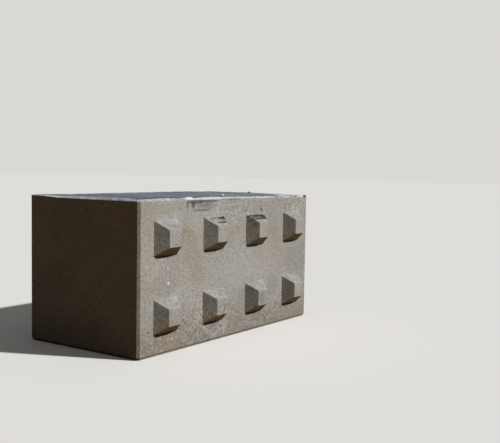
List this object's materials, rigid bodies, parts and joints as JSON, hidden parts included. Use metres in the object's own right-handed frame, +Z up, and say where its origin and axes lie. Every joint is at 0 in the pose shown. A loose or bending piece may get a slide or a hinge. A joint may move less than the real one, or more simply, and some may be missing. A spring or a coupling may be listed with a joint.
{
  "type": "interlocking concrete block",
  "caption": "Solid concrete block with square pyramid knobs on one long side and matching sockets on the opposite side, for walls stacked without mortar.",
  "frame": {"origin": "centre of the face that the block rests on, the one cast against the mould's floor", "axes": "+X along the length, +Y from the knob face to the socket face, +Z up to the pour face"},
  "size_m": [1.6, 0.867, 0.8],
  "materials": {
    "concrete": "matte grey cast concrete, fine pores, a darker trowelled pour face"
  },
  "bodies": {
    "root": {"concrete_block": "concrete"}
  },
  "joints": []
}
